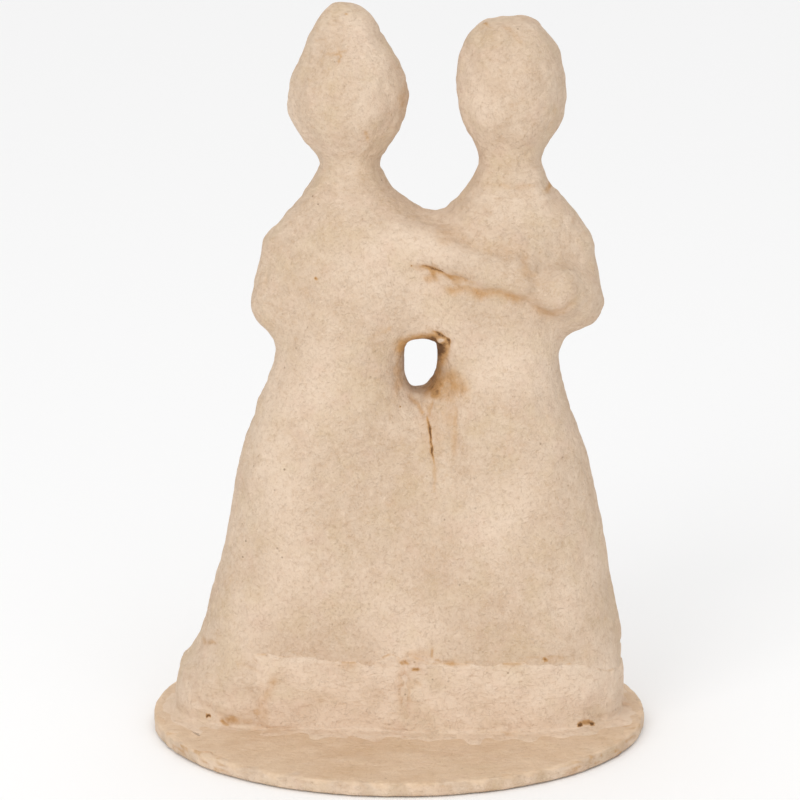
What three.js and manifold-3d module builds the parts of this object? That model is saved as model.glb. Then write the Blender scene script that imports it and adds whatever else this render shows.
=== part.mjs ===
// A papier-mache wedding couple: a bride and a groom, arm in arm, on a round pasteboard foot.
//
// The couple is a hollow moulding in two halves, front and back, which meet on the plane Y = 0.
// Kraft paper strips are pasted over that seam: up each side, round each neck, over each head,
// across the shoulders between the necks and through the small window between the waists.
// More strips fold round the hem and out over the foot, and so hold the couple on it.
// The foot is two plies of board, bound by a strip round the rim and faced with two paper discs.
//
// Sizes are in millimetres, +Z is up, and the origin is the centre of the foot's underside.
// The couple faces -Y, with the bride at -X and the groom at +X.

import * as THREE from "three";
import { mergeVertices } from "three/addons/utils/BufferGeometryUtils.js";
import Module from "manifold-3d";

const wasm = await Module();
wasm.setup();

// Stock and clearances
const PAPER = 0.4; // a pasted strip or disc of kraft paper
const BOARD_PLY = 1.5;
const SHELL_WALL = 2.5; // moulded paper pulp
const PASTE_GAP = 0.3; // between two curved faces that are pasted together
const BUTT_GAP = 0.3; // between the ends of neighbouring strips

// Foot
const FOOT_MARGIN = 6.4; // from the end of the hem to the foot's edge
const RIM_LAP = 8; // how far the rim strip turns in over each face of the board
const TOP_PAPER_MARGIN = 1.5; // from the foot's edge to its top paper's
const BOTTOM_PAPER_MARGIN = 3;
const FOOT_SEGMENTS = 48;

// Levels of the couple, each by how far it lies above the one before it. The hem is on the foot.
const LEVEL_RISES = {
  hem: 0,
  hemRoll: 10.5,
  flare: 11.5,
  knee: 20,
  thigh: 20,
  hip: 18,
  belowWaist: 15,
  waist: 13,
  ribs: 13,
  chest: 13,
  shoulder: 13,
  shoulderTop: 6.5,
  collar: 6,
  neck: 7,
  jaw: 9.5,
};

// Each body is a loft of upright ovals, one for each level: its left and right edges and its depth.
const BRIDE_BODY = {
  hem: { left: -68.6, right: 8, depth: 49 },
  hemRoll: { left: -67.9, right: 8, depth: 50 },
  flare: { left: -61.2, right: 8, depth: 50 },
  knee: { left: -54.8, right: 8, depth: 48 },
  thigh: { left: -50.2, right: 7.5, depth: 44 },
  hip: { left: -46.7, right: 6, depth: 40 },
  belowWaist: { left: -41.5, right: 3, depth: 36 },
  waist: { left: -37.1, right: 1.2, depth: 33 },
  ribs: { left: -36.5, right: 4.5, depth: 34 },
  chest: { left: -35.5, right: 10, depth: 35 },
  shoulder: { left: -34.2, right: 11, depth: 30 },
  shoulderTop: { left: -32, right: 6.5, depth: 25 },
  collar: { left: -26.2, right: -2, depth: 21.5 },
  neck: { left: -22.9, right: -5.7, depth: 18.5 },
  jaw: { left: -22, right: -6.6, depth: 18.5 },
};
const GROOM_BODY = {
  hem: { left: -4, right: 67.4, depth: 57 },
  hemRoll: { left: -4, right: 67.8, depth: 57 },
  flare: { left: -4, right: 67.1, depth: 55 },
  knee: { left: -3.5, right: 63.8, depth: 51 },
  thigh: { left: -2.5, right: 60, depth: 46 },
  hip: { left: 1, right: 55.6, depth: 42 },
  belowWaist: { left: 7, right: 50.4, depth: 38 },
  waist: { left: 12.4, right: 48, depth: 35 },
  ribs: { left: 9, right: 49, depth: 36 },
  chest: { left: 7, right: 50.5, depth: 37 },
  shoulder: { left: 8, right: 51.8, depth: 32 },
  shoulderTop: { left: 13.5, right: 50.3, depth: 26 },
  collar: { left: 20, right: 45, depth: 22 },
  neck: { left: 23.6, right: 42.2, depth: 19.4 },
  jaw: { left: 24, right: 41.8, depth: 19.4 },
};
const BODY_SQUARENESS = 2.3; // 2 is an ellipse

// Heads are plain ovals with no features. A head sinks by so much over the top of its neck,
// and the middle of the bun by so much into the top of the bride's head.
const BRIDE_HEAD = { x: -14.9, y: 0, sink: 7.2, halfWidth: 17.4, halfDepth: 17, halfHeight: 18.6 };
const BRIDE_BUN = { x: -15.5, y: 0, sink: 2.8, radius: 9.3, halfHeight: 15.8 };
const GROOM_HEAD = { x: 33.1, y: 0, sink: 7.5, halfWidth: 15.8, halfDepth: 16.4, halfHeight: 21.8 };

// Arms are tapered rolls from one joint to the next. A joint's rise is from the chest's level.
const BRIDE_OUTER_ARM = {
  shoulder: { x: -32.3, y: 0, rise: 7.4, radius: 8.3 },
  elbow: { x: -35.6, y: -3, rise: -8.6, radius: 8 },
};
const GROOM_OUTER_ARM = {
  shoulder: { x: 50, y: 0, rise: 7.4, radius: 8.3 },
  elbow: { x: 53, y: -3.5, rise: -7, radius: 8.2 },
};
const BRIDE_INNER_ARM = {
  shoulder: { x: -4, y: -8, rise: 14, radius: 6.5 },
  elbow: { x: 15, y: -13.6, rise: 8.5, radius: 6.4 },
  hand: { x: 35, y: -16, rise: 2.5, radius: 6.4 },
};
const GROOM_FOREARM = {
  elbow: { x: 52, y: -8, rise: -4, radius: 7.6 },
  hand: { x: 46, y: -14.5, rise: -2, radius: 7.4 },
};

// How far neighbouring forms melt into each other
const BODY_BLEND_WAIST = 14;
const BODY_BLEND_HEM = 34; // the skirts share one full front at the hem
const NECK_BLEND = 4;
const BUN_BLEND = 8;
const OUTER_ARM_BLEND = 7;
const INNER_ARM_BLEND = 3;

// Window between the waists
const WINDOW_DROP = 0.5; // from the waists' level to its middle
const WINDOW_HALF_WIDTH = 5.4;
const WINDOW_HALF_HEIGHT = 8.6;
const WINDOW_SQUARENESS = 2.5;
const WINDOW_ROUNDING = 4; // of the edge where it opens into the front and the back
const LINING_LAP_ACROSS = 5.1; // how far the lining laps past the window
const LINING_LAP_UP = 6.4;
const LINING_SEGMENTS = 24;

// Seam strips. A strip's end is given from the level that it stops at.
const SEAM_STRIP_WIDTH = 21; // across the seam, half of it on each shell
const BRIDE_HEAD_STRIP_RISE = 2.5; // from the neck
const GROOM_HEAD_STRIP_RISE = 2.5; // from the collar
const COLLAR_STRIP_RISE = 2; // from the top of the shoulder
const SADDLE_STRIP_DROP = 4; // from the shoulder

// Hem strips
const HEM_FLANGE = 9; // the part that lies on the foot
const FLANGE_INSET = 2; // from the foot's edge to a flange, at the least
const CORNER_STRIP_EDGE = -40; // where the bride's corner strip meets its neighbours
const FRONT_STRIP_JOINT = 2; // where the two front strips meet
const CORNER_STRIP_HEIGHT = 15.5;
const BRIDE_HEM_HEIGHT = 22.5;
const GROOM_HEM_HEIGHT = 21.5;
const BACK_HEM_HEIGHT = 20;
const FLANGE_SEGMENTS = 56;

// Facets of the moulding
const FACET_ACROSS = 7.6;
const FACET_DEEP = 6.4;
const SKIRT_FACET_UP = 12.5;
const BODICE_FACET_UP = 6;
const EVENING_PASSES = 3; // each one spaces the facets' corners out more evenly
const SURFACE_PASSES = 5; // each one brings a corner closer to the surface
const SLOPE_STEP = 0.05;
const NEEDLE_WIDTH = 0.05;
const CLOSE = 1e-4; // two points no further apart than this are one

// The foot's layers, from the table up
const BOTTOM_LAP_Z = PAPER;
const LOWER_BOARD_Z = BOTTOM_LAP_Z + PAPER;
const UPPER_BOARD_Z = LOWER_BOARD_Z + BOARD_PLY;
const TOP_LAP_Z = UPPER_BOARD_Z + BOARD_PLY;
const TOP_PAPER_Z = TOP_LAP_Z + PAPER;
const FOOT_TOP_Z = TOP_PAPER_Z + PAPER;
const FOOT_RADIUS = Math.max(-BRIDE_BODY.hem.left, GROOM_BODY.hem.right) + FOOT_MARGIN;

// Heights above the foot's top face
const LEVEL = {};
let height = 0;
for (const [name, rise] of Object.entries(LEVEL_RISES)) {
  height += rise;
  LEVEL[name] = height;
}
const BRIDE_HEAD_UP = LEVEL.jaw - BRIDE_HEAD.sink + BRIDE_HEAD.halfHeight;
const BRIDE_BUN_UP = BRIDE_HEAD_UP + BRIDE_HEAD.halfHeight - BRIDE_BUN.sink;
const GROOM_HEAD_UP = LEVEL.jaw - GROOM_HEAD.sink + GROOM_HEAD.halfHeight;
const BRIDE_TOP_UP = BRIDE_BUN_UP + BRIDE_BUN.halfHeight;
const GROOM_TOP_UP = GROOM_HEAD_UP + GROOM_HEAD.halfHeight;
const WINDOW_UP = LEVEL.waist - WINDOW_DROP;
const WINDOW_X = (BRIDE_BODY.waist.right + GROOM_BODY.waist.left) / 2;

const FAR = 5 * FOOT_RADIUS; // past every face of the object

const KRAFT = { color: 0xe6ccb3, roughness: 0.85, metalness: 0 };
const KRAFT_STRIP = { color: 0xe0c2a6, roughness: 0.85, metalness: 0 };
const FOOT_KRAFT = { color: 0xdbbc9d, roughness: 0.85, metalness: 0 };
const BOARD = { color: 0xc4a67f, roughness: 0.95, metalness: 0 };

// Solids and cuts

function solidFromGeometry(geometry) {
  const bare = geometry.clone();
  bare.deleteAttribute("normal");
  bare.deleteAttribute("uv");
  const merged = mergeVertices(bare, CLOSE);
  return new wasm.Manifold(
    new wasm.Mesh({
      numProp: 3,
      vertProperties: new Float32Array(merged.attributes.position.array),
      triVerts: new Uint32Array(merged.index.array),
    }),
  );
}

function geometryFromSolid(solid) {
  const mesh = solid.getMesh();
  const geometry = new THREE.BufferGeometry();
  geometry.setAttribute("position", new THREE.BufferAttribute(mesh.vertProperties, mesh.numProp));
  geometry.setIndex(withoutNeedles(mesh.triVerts, geometry.attributes.position));
  geometry.computeVertexNormals();
  return geometry;
}

// A cut that passes close by a corner leaves needle-thin facets. Their short edges are closed up.
function withoutNeedles(corners, position) {
  const joined = Array.from({ length: position.count }, (_, i) => i);
  const last = (i) => (joined[i] === i ? i : last(joined[i]));
  const point = (i) => new THREE.Vector3().fromBufferAttribute(position, i);
  const facets = Array.from({ length: corners.length / 3 }, (_, i) => [
    ...corners.slice(3 * i, 3 * i + 3),
  ]);
  for (const [a, b, c] of facets) {
    for (const [from, to] of [[a, b], [b, c], [c, a]]) {
      if (point(from).distanceTo(point(to)) < NEEDLE_WIDTH) joined[last(from)] = last(to);
    }
  }
  return facets
    .map((facet) => facet.map(last))
    .filter(([a, b, c]) => a !== b && b !== c && c !== a)
    .flat();
}

// A box to cut with: any side that isn't given lies past the object.
function region({ x = [-FAR, FAR], y = [-FAR, FAR], up = [-FAR, FAR] }) {
  const box = new THREE.BoxGeometry(x[1] - x[0], y[1] - y[0], up[1] - up[0]);
  box.translate((x[0] + x[1]) / 2, (y[0] + y[1]) / 2, FOOT_TOP_Z + (up[0] + up[1]) / 2);
  return solidFromGeometry(box);
}

// The couple's form, as a distance from its surface: under 0 inside, over 0 outside

function blend(a, b, width) {
  const share = Math.max(width - Math.abs(a - b), 0) / width;
  return Math.min(a, b) - (share * share * width) / 4;
}

function bodyForm(ovals) {
  const heights = Object.keys(ovals).map((level) => LEVEL[level]);
  const sizes = Object.values(ovals).flatMap(({ left, right, depth }) => [left, right, depth]);
  const curve = new THREE.CubicInterpolant(heights, sizes, 3);
  const top = LEVEL.jaw;
  return (x, y, up) => {
    const [left, right, depth] = curve.evaluate(Math.min(Math.max(up, 0), top));
    const halfWidth = (right - left) / 2;
    const halfDepth = depth / 2;
    const aside = roundedDistance(
      [x - (left + right) / 2, y],
      [halfWidth, halfDepth],
      BODY_SQUARENESS,
    );
    return Math.max(aside, up - top);
  };
}

function ovalForm(oval, middleUp) {
  const { radius, halfWidth = radius, halfDepth = radius, halfHeight } = oval;
  const half = [halfWidth, halfDepth, halfHeight];
  return (x, y, up) => roundedDistance([x - oval.x, y - oval.y, up - middleUp], half, 2);
}

// The distance of an offset from an ellipse or ellipsoid, or from a squarer one
function roundedDistance(offset, half, squareness) {
  const shares = offset.map((d, i) => Math.abs(d) / half[i]);
  const total = shares.reduce((sum, share) => sum + share ** squareness, 0);
  if (total === 0) return -Math.min(...half);
  const ring = total ** (1 / squareness);
  const slope = Math.hypot(...shares.map((share, i) => share ** (squareness - 1) / half[i]));
  return ((ring - 1) * ring ** (squareness - 1)) / slope;
}

function rollForm(arm) {
  const joints = Object.values(arm);
  const places = joints.map(({ x, y, rise }) => new THREE.Vector3(x, y, LEVEL.chest + rise));
  const lengths = joints.slice(1).map((joint, i) => ({
    from: places[i],
    along: places[i + 1].clone().sub(places[i]),
    radii: [joints[i].radius, joint.radius],
  }));
  return (x, y, up) =>
    Math.min(
      ...lengths.map(({ from, along, radii }) => {
        const offset = new THREE.Vector3(x, y, up).sub(from);
        const share = THREE.MathUtils.clamp(offset.dot(along) / along.lengthSq(), 0, 1);
        const radius = THREE.MathUtils.lerp(radii[0], radii[1], share);
        return offset.addScaledVector(along, -share).length() - radius;
      }),
    );
}

const brideBody = bodyForm(BRIDE_BODY);
const groomBody = bodyForm(GROOM_BODY);
const brideHead = ovalForm(BRIDE_HEAD, BRIDE_HEAD_UP);
const brideBun = ovalForm(BRIDE_BUN, BRIDE_BUN_UP);
const groomHead = ovalForm(GROOM_HEAD, GROOM_HEAD_UP);
const outerArms = [rollForm(BRIDE_OUTER_ARM), rollForm(GROOM_OUTER_ARM)];
const innerArms = [rollForm(BRIDE_INNER_ARM), rollForm(GROOM_FOREARM)];

function coupleForm({ x, y, z }) {
  const up = z - FOOT_TOP_Z;
  const lowered = THREE.MathUtils.clamp(1 - up / LEVEL.waist, 0, 1);
  const bodyBlend = THREE.MathUtils.lerp(BODY_BLEND_WAIST, BODY_BLEND_HEM, lowered);
  let form = blend(brideBody(x, y, up), groomBody(x, y, up), bodyBlend);
  form = blend(form, blend(brideHead(x, y, up), brideBun(x, y, up), BUN_BLEND), NECK_BLEND);
  form = blend(form, groomHead(x, y, up), NECK_BLEND);
  for (const arm of outerArms) form = blend(form, arm(x, y, up), OUTER_ARM_BLEND);
  for (const arm of innerArms) form = blend(form, arm(x, y, up), INNER_ARM_BLEND);
  const window = roundedDistance(
    [x - WINDOW_X, up - WINDOW_UP],
    [WINDOW_HALF_WIDTH, WINDOW_HALF_HEIGHT],
    WINDOW_SQUARENESS,
  );
  return -blend(-form, window, WINDOW_ROUNDING);
}

function slopeOf(form, point) {
  const slope = new THREE.Vector3();
  for (const axis of ["x", "y", "z"]) {
    const ahead = point.clone();
    const behind = point.clone();
    ahead[axis] += SLOPE_STEP;
    behind[axis] -= SLOPE_STEP;
    slope[axis] = (form(ahead) - form(behind)) / (2 * SLOPE_STEP);
  }
  return slope;
}

// The facets of the form's surface, as one open sheet with its normals. Each grid cell that the
// surface crosses gets a corner, each grid edge that it crosses gets a four-sided facet.

function steps(from, to, size) {
  const count = Math.ceil((to - from) / size);
  return Array.from({ length: count + 1 }, (_, i) => from + ((to - from) * i) / count);
}

// Steps that meet at 0, so that the seam runs through the middle of a row of facets
function stepsFromMiddle(reach, size) {
  const half = Math.ceil(reach / size);
  return Array.from({ length: 2 * half + 1 }, (_, i) => (i - half) * size);
}

function facetSheet(form, grid) {
  const [xs, ys, zs] = grid;
  const counts = grid.map((values) => values.length);
  const key = (i, j, k) => (k * counts[1] + j) * counts[0] + i;
  const inside = new Uint8Array(counts[0] * counts[1] * counts[2]);
  zs.forEach((z, k) =>
    ys.forEach((y, j) =>
      xs.forEach((x, i) => {
        inside[key(i, j, k)] = form({ x, y, z }) < 0 ? 1 : 0;
      }),
    ),
  );

  const corners = [];
  const cornerOfCell = new Map();
  function cornerOf(i, j, k) {
    const cell = key(i, j, k);
    if (!cornerOfCell.has(cell)) {
      cornerOfCell.set(cell, corners.length);
      const middle = new THREE.Vector3(
        (xs[i] + xs[i + 1]) / 2,
        (ys[j] + ys[j + 1]) / 2,
        k === 0 ? FOOT_TOP_Z : (zs[k] + zs[k + 1]) / 2,
      );
      corners.push(ontoSurface(form, middle));
    }
    return cornerOfCell.get(cell);
  }

  const facets = [];
  const neighbours = [
    [[0, 0, 0], [0, -1, 0], [0, -1, -1], [0, 0, -1]],
    [[0, 0, 0], [0, 0, -1], [-1, 0, -1], [-1, 0, 0]],
    [[0, 0, 0], [-1, 0, 0], [-1, -1, 0], [0, -1, 0]],
  ];
  for (let k = 0; k < counts[2] - 1; k++)
    for (let j = 1; j < counts[1] - 1; j++)
      for (let i = 1; i < counts[0] - 1; i++)
        neighbours.forEach((cells, axis) => {
          if (axis < 2 && k === 0) return; // the sheet's open lower edge
          const here = inside[key(i, j, k)];
          const next = inside[key(i + (axis === 0), j + (axis === 1), k + (axis === 2))];
          if (here === next) return;
          const ring = cells.map(([di, dj, dk]) => cornerOf(i + di, j + dj, k + dk));
          if (next) ring.reverse();
          facets.push(ring);
        });

  for (let pass = 0; pass < EVENING_PASSES; pass++) evenOut(form, corners, facets);
  const normals = corners.map((corner) => slopeAlongFoot(form, corner).normalize());
  return { corners, normals, triangles: facets.flatMap((ring) => halves(ring, corners)) };
}

// Moves each corner to the middle of its neighbours, and back onto the surface
function evenOut(form, corners, facets) {
  const neighbours = corners.map(() => new Set());
  for (const ring of facets) {
    ring.forEach((corner, i) => {
      neighbours[corner].add(ring[(i + 1) % ring.length]);
      neighbours[ring[(i + 1) % ring.length]].add(corner);
    });
  }
  const moved = corners.map((corner, i) => {
    const middle = new THREE.Vector3();
    for (const neighbour of neighbours[i]) middle.add(corners[neighbour]);
    middle.divideScalar(neighbours[i].size);
    if (corner.z === FOOT_TOP_Z) middle.z = FOOT_TOP_Z;
    return ontoSurface(form, middle);
  });
  corners.splice(0, corners.length, ...moved);
}

function ontoSurface(form, start) {
  const point = start.clone();
  for (let pass = 0; pass < SURFACE_PASSES; pass++) {
    const slope = slopeAlongFoot(form, point);
    point.addScaledVector(slope, -form(point) / slope.lengthSq());
  }
  return point;
}

// The slope, kept within the foot's top face for a corner that lies in it
function slopeAlongFoot(form, point) {
  const slope = slopeOf(form, point);
  if (point.z === FOOT_TOP_Z) slope.z = 0;
  return slope;
}

// A four-sided facet, halved along its shorter diagonal
function halves([a, b, c, d], corners) {
  const alongAC = corners[a].distanceTo(corners[c]);
  const alongBD = corners[b].distanceTo(corners[d]);
  return alongAC < alongBD ? [[a, b, c], [a, c, d]] : [[a, b, d], [b, c, d]];
}

// The solid between two offsets of the sheet, such as a wall or a pasted paper
function layer(sheet, inner, outer) {
  const count = sheet.corners.length;
  const offsets = [outer, inner];
  const points = offsets.flatMap((offset) =>
    sheet.corners.map((corner, i) => corner.clone().addScaledVector(sheet.normals[i], offset)),
  );
  const triangles = [...sheet.triangles];
  for (const [a, b, c] of sheet.triangles) triangles.push([c + count, b + count, a + count]);
  for (const [a, b] of openEdges(sheet.triangles)) {
    triangles.push([b, a, a + count], [b, a + count, b + count]);
  }
  return new wasm.Manifold(
    new wasm.Mesh({
      numProp: 3,
      vertProperties: new Float32Array(points.flatMap((point) => point.toArray())),
      triVerts: new Uint32Array(triangles.flat()),
    }),
  );
}

function openEdges(facets) {
  const edges = new Map();
  for (const ring of facets) {
    ring.forEach((from, i) => {
      const to = ring[(i + 1) % ring.length];
      edges.set(from + "," + to, [from, to]);
    });
  }
  return [...edges.values()].filter(([from, to]) => !edges.has(to + "," + from));
}

// Foot

function disc(radius, z, thickness) {
  const geometry = new THREE.CylinderGeometry(radius, radius, thickness, FOOT_SEGMENTS);
  geometry.rotateX(Math.PI / 2);
  geometry.rotateZ(Math.PI / 2);
  geometry.translate(0, 0, z + thickness / 2);
  return geometry;
}

function rimStrip() {
  const lapEdge = FOOT_RADIUS - RIM_LAP;
  const inside = FOOT_RADIUS - PAPER;
  const profile = [
    [lapEdge, BOTTOM_LAP_Z],
    [FOOT_RADIUS, BOTTOM_LAP_Z],
    [FOOT_RADIUS, TOP_PAPER_Z],
    [lapEdge, TOP_PAPER_Z],
    [lapEdge, TOP_LAP_Z],
    [inside, TOP_LAP_Z],
    [inside, LOWER_BOARD_Z],
    [lapEdge, LOWER_BOARD_Z],
    [lapEdge, BOTTOM_LAP_Z],
  ].map(([radius, z]) => new THREE.Vector2(radius, z));
  const geometry = new THREE.LatheGeometry(profile, FOOT_SEGMENTS);
  geometry.rotateX(Math.PI / 2);
  geometry.rotateZ(Math.PI / 2);
  return geometry;
}

// Hem strips: a wall against the skirt, and a flange that follows the skirt's outline

function footOutline(offset, limit) {
  const z = FOOT_TOP_Z;
  return Array.from({ length: FLANGE_SEGMENTS }, (_, i) => {
    const angle = (2 * Math.PI * i) / FLANGE_SEGMENTS;
    const at = (radius) => new THREE.Vector3(radius * Math.cos(angle), radius * Math.sin(angle), z);
    let [near, far] = [0, FAR];
    while (far - near > CLOSE) {
      const middle = (near + far) / 2;
      if (coupleForm(at(middle)) < offset) near = middle;
      else far = middle;
    }
    const point = at(Math.min(near, limit));
    return new THREE.Vector2(point.x, point.y);
  });
}

function hemFlange() {
  const outline = new THREE.Shape(footOutline(HEM_FLANGE, FOOT_RADIUS - FLANGE_INSET));
  outline.holes.push(new THREE.Path(footOutline(PASTE_GAP + PAPER / 2, FOOT_RADIUS)));
  const geometry = new THREE.ExtrudeGeometry(outline, { depth: PAPER, bevelEnabled: false });
  geometry.translate(0, 0, FOOT_TOP_Z);
  return solidFromGeometry(geometry);
}

// The two shells and every strip, cut from layers of one sheet

// The facets are finer above the hips
const aboveHips = FOOT_TOP_Z + (LEVEL.hip + LEVEL.belowWaist) / 2;
const overHeads = FOOT_TOP_Z + Math.max(BRIDE_TOP_UP, GROOM_TOP_UP) + BODICE_FACET_UP;
const halfDepths = [BRIDE_BODY, GROOM_BODY].flatMap((body) =>
  Object.values(body).map(({ depth }) => (depth + FACET_DEEP) / 2),
);
const sheet = facetSheet(coupleForm, [
  steps(-FOOT_RADIUS - FACET_ACROSS, FOOT_RADIUS + FACET_ACROSS, FACET_ACROSS),
  stepsFromMiddle(Math.max(...halfDepths), FACET_DEEP),
  [
    ...steps(FOOT_TOP_Z - SKIRT_FACET_UP / 2, aboveHips, SKIRT_FACET_UP),
    ...steps(aboveHips + BODICE_FACET_UP, overHeads, BODICE_FACET_UP),
  ],
]);
const wall = layer(sheet, -SHELL_WALL, 0);
const paper = layer(sheet, PASTE_GAP, PASTE_GAP + PAPER);

const halfStrip = SEAM_STRIP_WIDTH / 2;
const betweenNecks = (BRIDE_HEAD.x + GROOM_HEAD.x) / 2;
const overSeam = { y: [-halfStrip, halfStrip] };
const collarFrom = LEVEL.shoulderTop + COLLAR_STRIP_RISE;
const brideHeadFrom = LEVEL.neck + BRIDE_HEAD_STRIP_RISE;
const groomHeadFrom = LEVEL.collar + GROOM_HEAD_STRIP_RISE;

function seamStrips() {
  const underCollar = collarFrom - BUTT_GAP;
  const groomHemTop = Math.max(GROOM_HEM_HEIGHT, BACK_HEM_HEIGHT);
  return {
    bride_side_strip: {
      ...overSeam,
      x: [-FAR, BRIDE_HEAD.x - BUTT_GAP / 2],
      up: [CORNER_STRIP_HEIGHT + BUTT_GAP, underCollar],
    },
    groom_side_strip: {
      ...overSeam,
      x: [GROOM_HEAD.x + BUTT_GAP / 2, FAR],
      up: [groomHemTop + BUTT_GAP, underCollar],
    },
    saddle_strip: {
      ...overSeam,
      x: [BRIDE_HEAD.x + BUTT_GAP / 2, GROOM_HEAD.x - BUTT_GAP / 2],
      up: [LEVEL.shoulder - SADDLE_STRIP_DROP, underCollar],
    },
    bride_collar_strip: {
      x: [-FAR, betweenNecks - BUTT_GAP / 2],
      up: [collarFrom, brideHeadFrom - BUTT_GAP],
    },
    groom_collar_strip: {
      x: [betweenNecks + BUTT_GAP / 2, FAR],
      up: [collarFrom, groomHeadFrom - BUTT_GAP],
    },
    bride_head_strip: { ...overSeam, x: [-FAR, betweenNecks], up: [brideHeadFrom, FAR] },
    groom_head_strip: { ...overSeam, x: [betweenNecks, FAR], up: [groomHeadFrom, FAR] },
  };
}

function hemStrips() {
  const inFront = [-FAR, -BUTT_GAP / 2];
  const right = CORNER_STRIP_EDGE + BUTT_GAP;
  return {
    hem_strip_bride_corner: { x: [-FAR, CORNER_STRIP_EDGE], up: [0, CORNER_STRIP_HEIGHT] },
    hem_strip_bride_front: { x: [right, FRONT_STRIP_JOINT], y: inFront, up: [0, BRIDE_HEM_HEIGHT] },
    hem_strip_groom_front: {
      x: [FRONT_STRIP_JOINT + BUTT_GAP, FAR],
      y: inFront,
      up: [0, GROOM_HEM_HEIGHT],
    },
    hem_strip_back: { x: [right, FAR], y: [BUTT_GAP / 2, FAR], up: [0, BACK_HEM_HEIGHT] },
  };
}

function windowLining() {
  const halfWidth = WINDOW_HALF_WIDTH + LINING_LAP_ACROSS;
  const halfHeight = WINDOW_HALF_HEIGHT + LINING_LAP_UP;
  const reach = new THREE.CylinderGeometry(halfWidth, halfWidth, FAR, LINING_SEGMENTS);
  reach.scale(1, 1, halfHeight / halfWidth);
  reach.translate(WINDOW_X, 0, FOOT_TOP_Z + WINDOW_UP);
  return paper.intersect(solidFromGeometry(reach));
}

const couple = new THREE.Group();

function add(name, geometry, finish) {
  const mesh = new THREE.Mesh(geometry, new THREE.MeshStandardMaterial(finish));
  mesh.name = name;
  couple.add(mesh);
}

const boardRadius = FOOT_RADIUS - PAPER - PASTE_GAP;
add("base_bottom_paper", disc(FOOT_RADIUS - BOTTOM_PAPER_MARGIN, 0, PAPER), FOOT_KRAFT);
add("base_rim_strip", rimStrip(), KRAFT_STRIP);
add("base_board_lower", disc(boardRadius, LOWER_BOARD_Z, BOARD_PLY), BOARD);
add("base_board_upper", disc(boardRadius, UPPER_BOARD_Z, BOARD_PLY), BOARD);
add("base_top_paper", disc(FOOT_RADIUS - TOP_PAPER_MARGIN, TOP_PAPER_Z, PAPER), FOOT_KRAFT);

const frontHalf = wall.intersect(region({ y: [-FAR, 0] }));
const backHalf = wall.intersect(region({ y: [0, FAR] }));
add("front_shell", geometryFromSolid(frontHalf), KRAFT);
add("back_shell", geometryFromSolid(backHalf), KRAFT);
add("window_lining", geometryFromSolid(windowLining()), KRAFT_STRIP);

for (const [name, bounds] of Object.entries(seamStrips())) {
  add(name, geometryFromSolid(paper.intersect(region(bounds))), KRAFT_STRIP);
}

const flange = hemFlange();
for (const [name, bounds] of Object.entries(hemStrips())) {
  const wallPart = paper.intersect(region(bounds));
  const flangePart = flange.intersect(region(bounds));
  add(name, geometryFromSolid(wallPart.add(flangePart)), KRAFT_STRIP);
}

export default couple;
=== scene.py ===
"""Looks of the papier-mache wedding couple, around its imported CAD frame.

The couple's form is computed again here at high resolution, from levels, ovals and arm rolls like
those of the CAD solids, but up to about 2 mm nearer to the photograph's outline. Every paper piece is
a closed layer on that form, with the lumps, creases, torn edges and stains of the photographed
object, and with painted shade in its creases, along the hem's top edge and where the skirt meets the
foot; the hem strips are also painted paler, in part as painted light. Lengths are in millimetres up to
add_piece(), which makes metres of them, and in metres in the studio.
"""

import math

import bpy
import numpy as np
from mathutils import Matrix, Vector


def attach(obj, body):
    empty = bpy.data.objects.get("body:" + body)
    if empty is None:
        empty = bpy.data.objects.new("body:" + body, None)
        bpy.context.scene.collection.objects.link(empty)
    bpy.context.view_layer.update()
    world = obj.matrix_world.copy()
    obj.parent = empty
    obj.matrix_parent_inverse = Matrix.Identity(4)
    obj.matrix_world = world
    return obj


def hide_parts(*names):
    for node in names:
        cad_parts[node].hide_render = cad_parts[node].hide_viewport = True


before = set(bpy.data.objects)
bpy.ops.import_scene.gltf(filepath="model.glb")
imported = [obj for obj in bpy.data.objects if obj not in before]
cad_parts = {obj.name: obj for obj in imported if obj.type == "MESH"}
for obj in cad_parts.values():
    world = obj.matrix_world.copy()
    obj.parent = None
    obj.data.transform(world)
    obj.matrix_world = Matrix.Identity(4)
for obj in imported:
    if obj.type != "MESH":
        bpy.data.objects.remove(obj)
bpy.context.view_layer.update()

MM = 0.001
FOOT_TOP = 4.6
FOOT_RADIUS = 75
SHELL_WALL = 2.5
STRIP_HALF_WIDTH = 10.5

# The couple's form: the heights of the levels above the foot, and the ovals and rolls that hang on them
LEVELS = np.cumsum([0, 10.5, 11.5, 20, 20, 18, 15, 13, 13, 13, 13, 6.5, 6, 7, 9.5])
WAIST, CHEST, JAW = LEVELS[7], LEVELS[9], LEVELS[14]
BRIDE_OVALS = np.array([  # left, right, depth at each level
    (-68.6, 8, 49), (-67.6, 8, 50), (-61.2, 8, 50), (-54.8, 8, 48), (-50.6, 7.5, 44),
    (-47.5, 6, 40), (-41.7, 3, 36), (-37.1, 1.6, 33), (-36.8, 7.4, 34), (-36.4, 10, 35),
    (-34.2, 11, 30), (-32.5, 6.5, 25), (-27, -1.2, 21.5), (-22.9, -5.7, 18.5), (-23.6, -4.9, 18.5)])
GROOM_OVALS = np.array([
    (-4, 67.4, 57), (-4, 67.8, 57), (-4, 67.1, 55), (-3.5, 63.8, 51), (-2.5, 60.3, 46),
    (1, 56.2, 42), (7, 51.1, 38), (11.6, 48.1, 35), (6, 50, 36), (6, 51, 37),
    (8, 52.2, 32), (13.5, 52, 26), (19.4, 46.4, 22), (23.6, 42.2, 19.4), (24, 41.8, 19.4)])
BRIDE_HEAD = (-14.9, 0, JAW + 11.4), (17.4, 17, 18.6)
BRIDE_BUN = (-15.5, 0, JAW + 11.4 + 15.8), (9.2, 9.2, 12.4)
GROOM_HEAD = (33, 0, JAW + 15.2), (15.4, 16.4, 20.8)
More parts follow.
